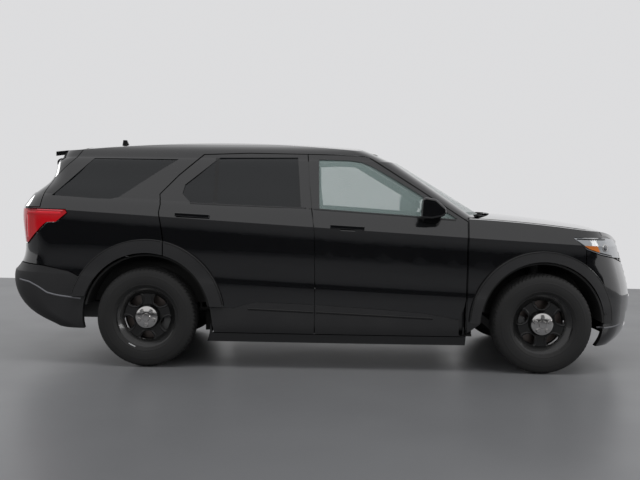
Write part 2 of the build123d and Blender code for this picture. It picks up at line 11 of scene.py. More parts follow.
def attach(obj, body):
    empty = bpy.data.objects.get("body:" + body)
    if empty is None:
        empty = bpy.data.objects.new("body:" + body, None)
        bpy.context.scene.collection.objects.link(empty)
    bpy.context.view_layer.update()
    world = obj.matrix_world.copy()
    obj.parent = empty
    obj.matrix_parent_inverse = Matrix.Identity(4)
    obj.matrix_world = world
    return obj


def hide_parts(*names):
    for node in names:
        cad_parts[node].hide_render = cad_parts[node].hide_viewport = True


bl_info = {
    "name": "Police Sport Utility Vehicle",
    "version": (1, 0, 0),
    "blender": (4, 5, 0),
    "location": "View3D > Sidebar > Vehicle",
    "description": "Tyres, wheel covers, lamps, trim and finishes of a police sport utility vehicle",
    "category": "Object",
}

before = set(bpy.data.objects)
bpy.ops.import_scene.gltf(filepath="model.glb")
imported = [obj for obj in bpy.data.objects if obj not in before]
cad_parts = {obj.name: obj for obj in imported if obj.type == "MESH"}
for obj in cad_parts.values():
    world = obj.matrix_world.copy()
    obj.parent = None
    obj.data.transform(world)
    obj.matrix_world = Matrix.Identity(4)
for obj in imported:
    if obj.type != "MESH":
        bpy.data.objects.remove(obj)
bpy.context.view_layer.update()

AXLE_Z = 0.381
AXLES = {"front": 1.640, "rear": 1.640 - 3.025}
SIDES = {"left": 1, "right": -1}

# Wheels, as |Y| and radius: the face that the openings are cut in, the brakes behind it and the cover
WHEEL_FACE_Y = 0.8915
OPENING_RIM_RADIUS = 0.0075
DISC_Y = (0.776, 0.792)
DISC_RADII = (0.086, 0.180)
SHIELD_Y = (0.7712, 0.7734)
SHIELD_RADII = (0.074, 0.199)
COVER_Y = 0.9335
NUT_CIRCLE = 0.0575
NUT_RADIUS = 0.0165

# Tyres: middle and grooves as |Y|, radius where the tread begins and radius that nothing passes
TYRE_MIDDLE_Y = 0.8495
GROOVES_Y = (0.793, 0.830, 0.869, 0.906)
TREAD_START_RADIUS = 0.3600
TYRE_LIMIT_RADIUS = 0.3809
BLOCKS_ROUND = 72
BLOCK_SLANT = 90

# Side rays start outside the mirrors, and a hit nearer the middle than the second figure doesn't count
RAY_START_Y = 1.4
INNERMOST_SIDE_Y = 0.5

# Seats: |Y| of a front seat and of an outer rear place, and the share that a pad's sides are drawn in
FRONT_SEAT_Y = 0.415
REAR_PLACE_Y = 0.413
SIDES_DRAWN_IN = 0.03

# Lamp projector and parking sensor, one above the other: X, and the two heights
SENSOR_X = 2.128
SENSOR_Z = 0.466
PROJECTOR_Z = 0.966

# Stage: reach of the floor along X and its far edge, and the dark wall behind the camera
FLOOR_REACH = 40
FLOOR_FAR_Y = 5.5
WALL_Y = -13.0
WALL_REACH = 25
WALL_TOP = 2.6

# Camera fitted to the photograph: place in metres, turns in degrees, focal length in the photo's pixels
CAMERA_PLACE = (0.008, -7.850, 1.380)
CAMERA_PITCH = 3.18
CAMERA_YAW = -0.61
CAMERA_ROLL = 0.95
FOCAL_PIXELS = 910.1
PHOTO_WIDTH = 640
SENSOR_WIDTH = 36.0


# Mesh helpers

def surface(name, points, wrap_u=False, wrap_v=False):
    """Mesh of a grid of points, row by row; wrapped ways join their last line to their first."""
    n, m = points.shape[:2]
    rows = np.arange(n if wrap_u else n - 1)
    cols = np.arange(m if wrap_v else m - 1)
    i, j = np.meshgrid(rows, cols, indexing="ij")
    i2, j2 = (i + 1) % n, (j + 1) % m
    faces = np.stack([i * m + j, i2 * m + j, i2 * m + j2, i * m + j2], -1).reshape(-1, 4)
    mesh = bpy.data.meshes.new(name)
    mesh.vertices.add(n * m)
    mesh.vertices.foreach_set("co", points.reshape(-1))
    mesh.loops.add(faces.size)
    mesh.loops.foreach_set("vertex_index", faces.reshape(-1))
    mesh.polygons.add(len(faces))
    mesh.polygons.foreach_set("loop_start", np.arange(0, faces.size, 4))
    mesh.update(calc_edges=True)
    mesh.validate()
    obj = bpy.data.objects.new(name, mesh)
    bpy.context.scene.collection.objects.link(obj)
    return obj


def finish(obj, material, body, smooth=40.0):
    """Give a piece its material, its body and its shading."""
    obj.data.materials.clear()
    obj.data.materials.append(material)
    obj.data.shade_smooth()
    if smooth:
        obj.data.set_sharp_from_angle(angle=math.radians(smooth))
    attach(obj, body)
    return obj


def outward(obj):
    """Merge the doubles of a closed mesh and turn its faces outwards."""
    bm = bmesh.new()
    bm.from_mesh(obj.data)
    bmesh.ops.remove_doubles(bm, verts=bm.verts, dist=1e-5)
    bmesh.ops.recalc_face_normals(bm, faces=bm.faces)
    bm.to_mesh(obj.data)
    bm.free()
    return obj


def joined(name, objs):
    """One object made of several."""
    bpy.ops.object.select_all(action="DESELECT")
    for o in objs:
        o.select_set(True)
    bpy.context.view_layer.objects.active = objs[0]
    bpy.ops.object.join()
    objs[0].name = name
    objs[0].data.name = name
    return objs[0]


def turned(radius, across, steps, x, sign):
    """Points of a profile spun about a wheel's axle: radius in X and Z, across in Y."""
    a = np.linspace(0, 2 * np.pi, steps, endpoint=False)
    px = x + np.outer(radius, np.sin(a))
    pz = AXLE_Z + np.outer(radius, np.cos(a))
    py = sign * np.repeat(np.asarray(across)[:, None], steps, axis=1)
    return np.stack([px, py, pz], -1)


def side_finder(starts):
    """Function giving the outermost |Y| of the CAD nodes with those names at a point in X and Z."""
    points, faces = [], []
    for name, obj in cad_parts.items():
        if name.startswith(starts):
            base = len(points)
            points.extend(obj.matrix_world @ v.co for v in obj.data.vertices)
            faces.extend(tuple(base + i for i in p.vertices) for p in obj.data.polygons)
    tree = BVHTree.FromPolygons(points, faces)

    def find(x, z, sign):
        """Outermost |Y| at a point, or nan where a ray from the side meets nothing."""
        hit = tree.ray_cast(Vector((x, RAY_START_Y * sign, z)), Vector((0, -sign, 0)))[0]
        return math.nan if hit is None or abs(hit.y) < INNERMOST_SIDE_Y else abs(hit.y)
    return find


def slab(name, outer, inner):
    """Closed thin piece between two grids of points, with its four edges closed."""
    loops = np.concatenate([outer, inner[:, ::-1]], axis=1)
    middle = (outer + inner) / 2
    ends = np.concatenate([middle, middle[:, ::-1]], axis=1)
    return outward(surface(name, np.concatenate([ends[:1], loops, ends[-1:]]), False, True))


def laid_on(name, x, z, sign, find, proud=0.0015, thick=0.003):
    """Thin piece over the side: a grid of X and Z drawn onto the CAD surface and given a thickness."""
    y = np.array([[find(a, b, sign) for a, b in zip(ra, rb)] for ra, rb in zip(x, z)])
    y = np.where(np.isnan(y), np.nanmedian(y), y)
    outer = np.stack([x, sign * (y + proud), z], -1)
    inner = np.stack([x, sign * (y + proud - thick), z], -1)
    return slab(name, outer, inner)


def strip(path, width, across=5, step=0.012):
    """Grid of X and Z along a path, as wide as a strip, with the height of its crown at each column."""
    path = np.asarray(path, float)
    reach = np.concatenate([[0], np.cumsum(np.hypot(*np.diff(path, axis=0).T))])
    s = np.linspace(0, reach[-1], max(3, int(reach[-1] / step)))
    px, pz = np.interp(s, reach, path[:, 0]), np.interp(s, reach, path[:, 1])
    tx, tz = np.gradient(px), np.gradient(pz)
    size = np.hypot(tx, tz)
    t = np.linspace(-0.5, 0.5, across)[None, :] * width
    x = px[:, None] - (tz / size)[:, None] * t
    z = pz[:, None] + (tx / size)[:, None] * t
    return x, z, np.sqrt(np.clip(1.02 - (2 * t / width) ** 2, 0, 1))


def patch(corners, rows=14, cols=14):
    """Grid of X and Z over a four-cornered patch."""
    a, b, c, d = (np.asarray(p, float) for p in corners)
    u = np.linspace(0, 1, rows)[:, None, None]
    v = np.linspace(0, 1, cols)[None, :, None]
    grid = (a * (1 - u) + d * u) * (1 - v) + (b * (1 - u) + c * u) * v
    return grid[..., 0], grid[..., 1]


def arc_path(x, radius, low, high):
    """Points of an arc about a wheel's axle, its angles in degrees from straight up toward the front."""
    a = np.radians(np.linspace(low, high, 40))
    return np.stack([x + radius * np.sin(a), AXLE_Z + radius * np.cos(a)], -1)


def rounded_box(name, centre, half, tilt=0.0, power=6.0, cells=30, top=None):
    """Box rounded by a power norm; top says how far its upper face rises at each X and Y from -1 to 1."""
    t = np.linspace(-1, 1, cells)
    u, v = (g.ravel() for g in np.meshgrid(t, t, indexing="ij"))
    one = np.ones_like(u)
    objs = []
    sheets = ((u, v, one), (u, v, -one), (u, one, v), (u, -one, v), (one, u, v), (-one, u, v))
    for k, sheet in enumerate(sheets):
        p = np.stack(sheet, -1)
        q = p / (np.abs(p) ** power).sum(-1, keepdims=True) ** (1 / power)
        lift = 0 if top is None else top(q[:, 0], q[:, 1]) * np.clip(q[:, 2], 0, 1)
        drawn_in = np.stack([1 - q[:, 1] ** 2, 1 - q[:, 0] ** 2, 0 * q[:, 0]], -1)
        pull = 1 - (SIDES_DRAWN_IN if top else 0) * drawn_in
        local = q * pull * np.asarray(half)
        local[:, 2] += lift
        c, s = math.cos(math.radians(tilt)), math.sin(math.radians(tilt))
        along, up = c * local[:, 0] - s * local[:, 2], s * local[:, 0] + c * local[:, 2]
        placed = np.stack([along, local[:, 1], up], -1)
        objs.append(surface(name + str(k), (placed + np.asarray(centre)).reshape(cells, cells, 3)))
    return outward(joined(name, objs))


def tube_ring(name, path, radius, around=10):
    """Closed tube along a closed path that lies in a plane across the axle."""
    following, before = np.roll(path, -1, axis=0), np.roll(path, 1, axis=0)
    along = following - before
    along /= np.linalg.norm(along, axis=1, keepdims=True)
    side = np.stack([along[:, 2], 0 * along[:, 1], -along[:, 0]], -1)
    f = np.linspace(0, 2 * np.pi, around, endpoint=False)
    ring = path[:, None] + radius * (side[:, None] * np.cos(f)[None, :, None]
                                     + np.array([0, 1, 0]) * np.sin(f)[None, :, None])
    return outward(surface(name, ring, True, True))


# Node groups and materials

def grain_group():
    """Node group: fine noise on Object coordinates that gives a roughness and a height."""
    group = bpy.data.node_groups.new("surface_grain", "ShaderNodeTree")
    face = group.interface
    for label, value in (("Scale", 300.0), ("Rough", 0.4), ("Spread", 0.1)):
        socket = face.new_socket(name=label, in_out="INPUT", socket_type="NodeSocketFloat")
        socket.default_value = value
    face.new_socket(name="Roughness", in_out="OUTPUT", socket_type="NodeSocketFloat")
    face.new_socket(name="Height", in_out="OUTPUT", socket_type="NodeSocketFloat")
    n, link = group.nodes, group.links.new
    inp, out = n.new("NodeGroupInput"), n.new("NodeGroupOutput")
    coord = n.new("ShaderNodeTexCoord")
    noise = n.new("ShaderNodeTexNoise")
    noise.inputs["Detail"].default_value = 3.0
    link(coord.outputs["Object"], noise.inputs["Vector"])
    link(inp.outputs["Scale"], noise.inputs["Scale"])
    shift = n.new("ShaderNodeMath")
    shift.operation = "SUBTRACT"
    shift.inputs[1].default_value = 0.5
    link(noise.outputs["Fac"], shift.inputs[0])
    spread = n.new("ShaderNodeMath")
    spread.operation = "MULTIPLY_ADD"
    link(shift.outputs[0], spread.inputs[0])
    link(inp.outputs["Spread"], spread.inputs[1])
    link(inp.outputs["Rough"], spread.inputs[2])
    link(spread.outputs[0], out.inputs["Roughness"])
    link(noise.outputs["Fac"], out.inputs["Height"])
    return group


def tint_group():
    """Node group: a colour varied by slow noise between two shades, such as road dust on a surface."""
    group = bpy.data.node_groups.new("colour_variation", "ShaderNodeTree")
    face = group.interface
    for label in ("Colour", "Dust"):
        face.new_socket(name=label, in_out="INPUT", socket_type="NodeSocketColor")
    for label, value in (("Scale", 3.0), ("Amount", 0.1)):
        socket = face.new_socket(name=label, in_out="INPUT", socket_type="NodeSocketFloat")
        socket.default_value = value
    face.new_socket(name="Colour", in_out="OUTPUT", socket_type="NodeSocketColor")
    n, link = group.nodes, group.links.new
    inp, out = n.new("NodeGroupInput"), n.new("NodeGroupOutput")
    coord = n.new("ShaderNodeTexCoord")
    noise = n.new("ShaderNodeTexNoise")
    noise.inputs["Detail"].default_value = 5.0
    link(coord.outputs["Object"], noise.inputs["Vector"])
    link(inp.outputs["Scale"], noise.inputs["Scale"])
    amount = n.new("ShaderNodeMath")
    amount.operation = "MULTIPLY"
    link(noise.outputs["Fac"], amount.inputs[0])
    link(inp.outputs["Amount"], amount.inputs[1])
    mix = n.new("ShaderNodeMix")
    mix.data_type = "RGBA"
    link(amount.outputs[0], mix.inputs["Factor"])
    link(inp.outputs["Colour"], mix.inputs["A"])
    link(inp.outputs["Dust"], mix.inputs["B"])
    link(mix.outputs["Result"], out.inputs["Colour"])
    return group


GRAIN = grain_group()
TINT = tint_group()
made = {}


def material(name, colour, rough=0.4, metal=0.0, coat=0.0, bump=0.0, scale=300.0, spread=0.08,
             dust=(0.25, 0.24, 0.22), dusty=0.04, dust_scale=4.0, alpha=1.0, sheen=0.0):
    """Principled material whose colour, roughness and bump come from the two node groups."""
    if name in made:
        return made[name]
    mat = bpy.data.materials.new(name)
    mat.use_nodes = True
    n, link = mat.node_tree.nodes, mat.node_tree.links.new
    shader = n["Principled BSDF"]
    tint = n.new("ShaderNodeGroup")
    tint.node_tree = TINT
    tint.inputs["Colour"].default_value = (*colour, 1)
    tint.inputs["Dust"].default_value = (*dust, 1)
    tint.inputs["Scale"].default_value = dust_scale
    tint.inputs["Amount"].default_value = dusty
    link(tint.outputs["Colour"], shader.inputs["Base Color"])
    grain = n.new("ShaderNodeGroup")
    grain.node_tree = GRAIN
    grain.inputs["Scale"].default_value = scale
    grain.inputs["Rough"].default_value = rough
    grain.inputs["Spread"].default_value = spread
    link(grain.outputs["Roughness"], shader.inputs["Roughness"])
    if bump:
        node = n.new("ShaderNodeBump")
        node.inputs["Strength"].default_value = 1.0
        node.inputs["Distance"].default_value = bump
        link(grain.outputs["Height"], node.inputs["Height"])
        link(node.outputs["Normal"], shader.inputs["Normal"])
    shader.inputs["Metallic"].default_value = metal
    shader.inputs["Coat Weight"].default_value = coat
    shader.inputs["Coat Roughness"].default_value = 0.03
    shader.inputs["Alpha"].default_value = alpha
    shader.inputs["Sheen Weight"].default_value = sheen
    made[name] = mat
    return mat


def pane_material(name, colour, alpha):
    """Thin glass that lets the view through: a tinted, glossy film of part cover."""
    mat = material(name, colour, rough=0.03, spread=0.01, scale=3.0, dusty=0.01, alpha=alpha)
    mat.node_tree.nodes["Principled BSDF"].inputs["IOR"].default_value = 1.52
    return mat


PAINT = material("black_gloss_paint", (0.0035, 0.0036, 0.0042), rough=0.10, spread=0.03, scale=40,
                 coat=1.0, dusty=0.006)
TRIM = material("grained_dark_plastic", (0.013, 0.013, 0.014), rough=0.62, bump=0.00012, scale=900,
                dusty=0.05)
GLOSS_TRIM = material("gloss_black_plastic", (0.004, 0.004, 0.004), rough=0.12, spread=0.02, scale=60,
                      dusty=0.01)
SOOT = material("underbody_sealer", (0.010, 0.010, 0.010), rough=0.8, bump=0.0004, scale=150, dusty=0.05)
CASTING = material("cast_aluminium", (0.16, 0.16, 0.16), rough=0.5, metal=0.8, bump=0.0003, scale=400)
STEEL = material("plain_steel", (0.10, 0.10, 0.10), rough=0.45, metal=0.9, scale=200)
DISC = material("brake_disc_steel", (0.22, 0.20, 0.19), rough=0.35, metal=1.0, scale=500,
                dust=(0.2, 0.1, 0.05), dusty=0.3)
BRIGHT = material("polished_steel", (0.62, 0.61, 0.60), rough=0.16, metal=1.0, scale=300, spread=0.06,
                  dusty=0.1)
WHEEL = material("black_wheel_enamel", (0.006, 0.006, 0.006), rough=0.22, spread=0.08, scale=120,
                 coat=0.4, dusty=0.02)
TYRE = material("tyre_rubber", (0.010, 0.010, 0.010), rough=0.72, bump=0.0002, scale=700,
                dust=(0.14, 0.13, 0.12), dusty=0.07)
CLOTH = material("seat_cloth", (0.020, 0.020, 0.022), rough=0.9, bump=0.0005, scale=1200, sheen=0.2)
DASH = material("soft_dashboard_skin", (0.016, 0.016, 0.017), rough=0.6, bump=0.0002, scale=700)
DARK_GLASS = pane_material("privacy_glass", (0.005, 0.006, 0.007), 0.94)
CLEAR_GLASS = pane_material("pale_green_glass", (0.30, 0.38, 0.36), 0.30)
RED = material("red_lens", (0.62, 0.008, 0.014), rough=0.08, spread=0.02, scale=50, dusty=0.01, coat=0.6)
LENS = material("clear_lens", (0.30, 0.31, 0.32), rough=0.06, spread=0.02, scale=50, dusty=0.02, coat=0.8)
PALE_RED = material("pale_red_strip", (0.75, 0.10, 0.12), rough=0.1, spread=0.02, scale=50, dusty=0.01,
                    coat=0.5)
BRIGHT_RED = material("bright_red_bar", (0.95, 0.030, 0.045), rough=0.08, spread=0.02, scale=50, dusty=0.01,
                      coat=0.6)
PROJECTOR = material("projector_glass", (0.035, 0.038, 0.045), rough=0.04, spread=0.01, scale=50,
                     dusty=0.01, coat=1.0)
# Pale grey of the bumper edge strips is a painted highlight, where light catches a step in the black bumper
PAINTED_EDGE_HIGHLIGHT = material("pale_edge_strip", (0.17, 0.17, 0.18), rough=0.4, spread=0.05, scale=200, dusty=0.03)
WEIGHT = material("balance_weight_zinc", (0.75, 0.75, 0.75), rough=0.4, metal=0.3, scale=200, dusty=0.05)
MIRROR = material("silvered_glass", (0.80, 0.81, 0.82), rough=0.03, spread=0.01, scale=30, metal=1.0,
                  dusty=0.01)
AMBER = material("amber_lens", (0.75, 0.20, 0.02), rough=0.1, spread=0.02, scale=50, dusty=0.02, coat=0.5)

# Start of a CAD node's name and its finish; the last pair that fits a name counts, and the rest is painted
NODE_FINISH = (
    ("tyre", TYRE), ("wheel", WHEEL), ("wheel_cover", BRIGHT), ("steering_wheel", DASH), ("wipers", TRIM),
    ("tail_lamps", RED), ("liftgate_lamps", RED), ("headlamps", LENS), ("grille", GLOSS_TRIM),
    ("arch_mouldings", TRIM), ("cowl", TRIM), ("rear_bumper", TRIM), ("dashboard", DASH),
    ("roof_antenna", GLOSS_TRIM), ("engine_block", CASTING), ("knuckle", CASTING), ("driveshaft", STEEL),
    ("exhaust", STEEL), ("front_struts", STEEL), ("fuel_tank", SOOT), ("front_subframe", SOOT),
    ("rear_subframe", SOOT), ("floor_pan", SOOT), ("windscreen", CLEAR_GLASS), ("front_seats", CLOTH),
    ("rear_bench", CLOTH), ("quarter_windows", DARK_GLASS), ("liftgate_glass", DARK_GLASS),
    ("front_door_glass", CLEAR_GLASS), ("rear_door_glass", DARK_GLASS), ("front_door_cladding", TRIM),
    ("rear_door_cladding", TRIM),
)


class VehicleSizes(bpy.types.PropertyGroup):
    """Sizes that a user would change."""
    tread_depth: bpy.props.FloatProperty(
        name="Tread depth", description="Depth of the tyre grooves", default=0.008, unit="LENGTH")
    cover_radius: bpy.props.FloatProperty(
        name="Wheel cover radius", description="Radius of the bright centre cover", default=0.090,
        unit="LENGTH")


class VehicleColours(bpy.types.PropertyGroup):
    """Colours that a user would change."""
    backdrop: bpy.props.FloatVectorProperty(
        name="Backdrop", description="Colour of the background", default=(0.72, 0.72, 0.73),
        subtype="COLOR")
    floor: bpy.props.FloatVectorProperty(
        name="Floor", description="Colour of the floor", default=(0.11, 0.11, 0.113),
        subtype="COLOR")


class VEHICLE_OT_finishes(bpy.types.Operator):
    """Give each CAD node its finish."""
    bl_idname = "vehicle.finishes"
    bl_label = "Node finishes"

    def execute(self, context):
        for name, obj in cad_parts.items():
            chosen = PAINT
            for start, mat in NODE_FINISH:
                if name.startswith(start):
                    chosen = mat
            obj.data.materials.clear()
            obj.data.materials.append(chosen)
        return {"FINISHED"}


class VEHICLE_OT_tyres(bpy.types.Operator):
    """Make the four tyres with grooves, blocks and shoulder notches."""
    bl_idname = "vehicle.tyres"
    bl_label = "Tyres"

    def execute(self, context):
        depth = context.scene.vehicle_sizes.tread_depth
        for end, x in AXLES.items():
            for side, sign in SIDES.items():
                obj = surface("tyre_dressed_" + end + "_" + side, self.points(x, sign, depth), True, True)
                outward(obj)
                finish(obj, TYRE, "road_wheel_" + end + "_" + side, 50)
                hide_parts("tyre_" + end + "_" + side)
        return {"FINISHED"}

    def points(self, x, sign, depth):
        """A closed section spun about the axle; the tread sinks at grooves and at notches that repeat."""
        section = np.array([
            (0.744, 0.2310), (0.734, 0.2360), (0.7260, 0.2500), (0.7235, 0.2700), (0.7225, 0.2950),
            (0.7245, 0.3200), (0.7290, 0.3420), (0.7350, 0.3560), (0.7420, 0.3665), (0.7520, 0.3730),
            (0.7660, 0.3770), (0.7800, 0.3790), (0.7990, 0.3803), (0.8180, 0.3810), (0.8340, 0.3812),
            (0.8495, 0.3813), (0.8650, 0.3812), (0.8810, 0.3810), (0.9000, 0.3803), (0.9190, 0.3790),
            (0.9330, 0.3770), (0.9470, 0.3730), (0.9570, 0.3665), (0.9640, 0.3560), (0.9700, 0.3420),
            (0.9740, 0.3230), (0.9755, 0.3190), (0.9757, 0.3100), (0.9765, 0.2950), (0.9750, 0.2700),
            (0.9720, 0.2580), (0.9725, 0.2530), (0.9650, 0.2440), (0.9540, 0.2310)])
        t = np.linspace(0, len(section) - 1, 120)
        y = np.interp(t, np.arange(len(section)), section[:, 0])
        r = np.interp(t, np.arange(len(section)), section[:, 1])
        steps = 432
        a = np.linspace(0, 2 * np.pi, steps, endpoint=False)
        on_tread = np.clip((r - TREAD_START_RADIUS) / 0.008, 0, 1)[:, None]
        groove = np.zeros_like(y)
        for centre in GROOVES_Y:
            groove = np.maximum(groove, np.clip(1.6 - np.abs(y - centre) / 0.0035, 0, 1))
        from_middle = np.abs(y - TYRE_MIDDLE_Y)[:, None]
        phase = BLOCKS_ROUND * a[None, :] + BLOCK_SLANT * from_middle
        blocks = np.clip((np.cos(phase) - 0.72) * 8, 0, 1)
        shoulder = np.clip((from_middle - 0.056) / 0.01, 0, 1)
        sunk = np.maximum(groove[:, None], blocks * (0.35 + 0.65 * shoulder)) * on_tread
        radius = np.minimum(r[:, None] - depth * sunk, TYRE_LIMIT_RADIUS)
        px = x + radius * np.sin(a)
        pz = AXLE_Z + radius * np.cos(a)
        py = sign * np.repeat(y[:, None], steps, 1)
        return np.stack([px, py, pz], -1)


class VEHICLE_OT_wheel_covers(bpy.types.Operator):
    """Make the bright centre cover of each wheel, with its five nut bumps."""
    bl_idname = "vehicle.wheel_covers"
    bl_label = "Wheel covers"

    def execute(self, context):
        radius = context.scene.vehicle_sizes.cover_radius
        for end, x in AXLES.items():
            for side, sign in SIDES.items():
                start = 0.0 if end == "front" else math.pi
                rings, steps = 56, 180
                s = np.linspace(0.0005, 1.0, rings)[:, None]
                a = np.linspace(0, 2 * np.pi, steps, endpoint=False)[None, :]
                # Dome falling to the rim, a raised middle, five round nut bumps and a turned-in edge
                px, pz = s * radius * np.sin(a), s * radius * np.cos(a)
                dome = 0.016 * (1 - s ** 2.5) + 0.010 * np.clip((0.34 - s) / 0.04, 0, 1) + 0 * a
                for k in range(5):
                    turn = start + 2 * np.pi * k / 5
                    d = np.hypot(px - NUT_CIRCLE * np.sin(turn), pz - NUT_CIRCLE * np.cos(turn))
                    dome = np.maximum(dome, 0.0265 * np.clip((NUT_RADIUS - d) / 0.0035, 0, 1) ** 0.6)
                rim = np.clip((s - 0.93) / 0.07, 0, 1)
                dome = dome * (1 - rim) - 0.012 * rim
                points = np.stack([x + px, sign * (COVER_Y + dome), AXLE_Z + pz], -1)
                obj = surface("wheel_cover_dressed_" + end + "_" + side, points, False, True)
                outward(obj)
                finish(obj, BRIGHT, "road_wheel_" + end + "_" + side, 35)
                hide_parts("wheel_cover_" + end + "_" + side)
        return {"FINISHED"}


class VEHICLE_OT_wheel_details(bpy.types.Operator):
    """Raise a rim round each wheel opening, and add the brake discs, calipers and one balance weight."""
    bl_idname = "vehicle.wheel_details"
    bl_label = "Wheel details"

    def execute(self, context):
        # Corners of an opening, along and out from the axle, cut three times to round them
        opening = np.array([(-0.032, 0.104), (0.032, 0.104), (0.074, 0.160),
                            (0.044, 0.186), (-0.044, 0.186), (-0.074, 0.160)])
        for _ in range(3):
            following = np.roll(opening, -1, axis=0)
            near, far = 0.75 * opening + 0.25 * following, 0.25 * opening + 0.75 * following
            opening = np.stack([near, far], 1).reshape(-1, 2)
        for end, x in AXLES.items():
            first = 0.0 if end == "front" else math.pi
            for side, sign in SIDES.items():
                rings = []
                for k in range(5):
                    a = first + 2 * math.pi * k / 5
                    px = opening[:, 0] * math.cos(a) + opening[:, 1] * math.sin(a)
                    pz = opening[:, 1] * math.cos(a) - opening[:, 0] * math.sin(a)
                    path = np.stack([x + px, 0 * px + sign * WHEEL_FACE_Y, AXLE_Z + pz], -1)
                    rings.append(tube_ring("ring", path, OPENING_RIM_RADIUS))
                where = end + "_" + side
                rims = joined("wheel_opening_rims_" + where, rings)
                finish(rims, WHEEL, "road_wheel_" + where, 0)
                carrier = "steering_knuckle_" + side if end == "front" else "body"
                for name, radii, across, mat, body in (
                    ("brake_disc_", DISC_RADII, DISC_Y, DISC, "road_wheel_" + where),
                    ("brake_shield_", SHIELD_RADII, SHIELD_Y, SOOT, carrier),
                ):
                    profile = [radii[0], radii[1], radii[1], radii[0]]
                    ring = turned(profile, np.repeat(across, 2), 96, x, sign)
                    finish(outward(surface(name + where, ring, True, True)), mat, body, 30)
                a = np.linspace(-0.5, 0.5, 24) + (-1.75 if end == "front" else 1.75)
                # Section of the caliper, as radius and |Y|
                section = np.array([(0.112, 0.797), (0.184, 0.797), (0.184, 0.774), (0.192, 0.774),
                                    (0.190, 0.830), (0.182, 0.842), (0.120, 0.842), (0.112, 0.836)])
                outer = np.stack([x + np.outer(np.sin(a), section[:, 0]),
                                  np.repeat(sign * section[None, :, 1], len(a), 0),
                                  AXLE_Z + np.outer(np.cos(a), section[:, 0])], -1)
                middle = outer.mean(axis=1, keepdims=True) + 0 * outer
                shape = np.concatenate([middle[:1], outer, middle[-1:]])
                caliper = outward(surface("brake_caliper_" + where, shape, False, True))
                finish(caliper, CASTING, carrier, 30)
        # Balance weight on the rim of the right rear wheel, behind and below its axle
        turn = math.radians(180 + 26.4)
        a = np.linspace(-0.12, 0.12, 12)[:, None] + turn
        r = np.array([0.234, 0.2365, 0.2435, 0.246])[None, :]
        face = np.stack([AXLES["rear"] + r * np.sin(a), 0 * a * r - 0.9615, AXLE_Z + r * np.cos(a)], -1)
        weight = slab("balance_weight", face, face + np.array([0, 0.009, 0]))
        finish(weight, WEIGHT, "road_wheel_rear_right", 30)
        return {"FINISHED"}


class VEHICLE_OT_seats(bpy.types.Operator):
    """Make the stuffed cushions, backs and head rests, with seat runners under the front ones."""
    bl_idname = "vehicle.seats"
    bl_label = "Seats"

    def execute(self, context):
        def front_top(x, y):
            """Domed, less four sewn channels, with a bolster rising at each side."""
            sewn = sum(np.exp(-((y - c) / 0.03) ** 2) for c in (-0.56, -0.19, 0.19, 0.56))
            bolster = np.clip((np.abs(y) - 0.56) / 0.25, 0, 1) * np.clip((1.0 - np.abs(y)) / 0.12, 0, 1)
            return (0.012 * (1 - x ** 2) + 0.026 * bolster - 0.007 * sewn) * np.clip((1 - x ** 4) * 3, 0, 1)

        def bench_top(x, y):
            """Domed, less two sewn channels."""
            sewn = sum(np.exp(-((y - c) / 0.04) ** 2) for c in (-0.7, 0.7))
            return (0.020 * (1 - x ** 2) * (1 - y ** 4) - 0.007 * sewn) * np.clip((1 - x ** 4) * 3, 0, 1)

        def rest_top(x, y):
            """Plainly domed."""
            return 0.010 * (1 - x ** 2) * (1 - y ** 2)

        for side, sign in SIDES.items():
            y = FRONT_SEAT_Y * sign
            # name, centre X and Z, half sizes, tilt in degrees that lifts the front edge, top face
            for name, x, z, half, tilt, top in (
                ("front_seat_cushion_", 0.255, 0.470, (0.300, 0.240, 0.068), 4.5, front_top),
                ("front_seat_back_", -0.128, 0.815, (0.330, 0.230, 0.055), 290.0, front_top),
                ("front_head_rest_", -0.270, 1.222, (0.075, 0.132, 0.036), 287.0, rest_top),
            ):
                pad = rounded_box(name + side, (x, y, z), half, tilt, 5.0, 40, top)
                finish(pad, CLOTH, "body", 0)
                if "cushion" in name:
                    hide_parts("front_seats")
            runners = [rounded_box("runner", (0.25, y + dy, 0.332), (0.25, 0.020, 0.064), 0, 12.0, 10)
                       for dy in (-0.175, 0.175)]
            finish(joined("seat_runners_" + side, runners), STEEL, "body", 30)
        for name, y in (("left", REAR_PLACE_Y), ("middle", 0.0), ("right", -REAR_PLACE_Y)):
            # name, centre X and Z, half sizes, tilt in degrees
            for part, x, z, half, tilt in (
                ("rear_cushion_", -0.650, 0.508, (0.225, 0.2035, 0.070), 2.0),
                ("rear_back_", -1.018, 0.870, (0.305, 0.2035, 0.048), 290.0),
            ):
                pad = rounded_box(part + name, (x, y, z), half, tilt, 5.0, 36, bench_top)
                finish(pad, CLOTH, "body", 0)
                if "cushion" in part:
                    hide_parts("rear_bench")
        return {"FINISHED"}


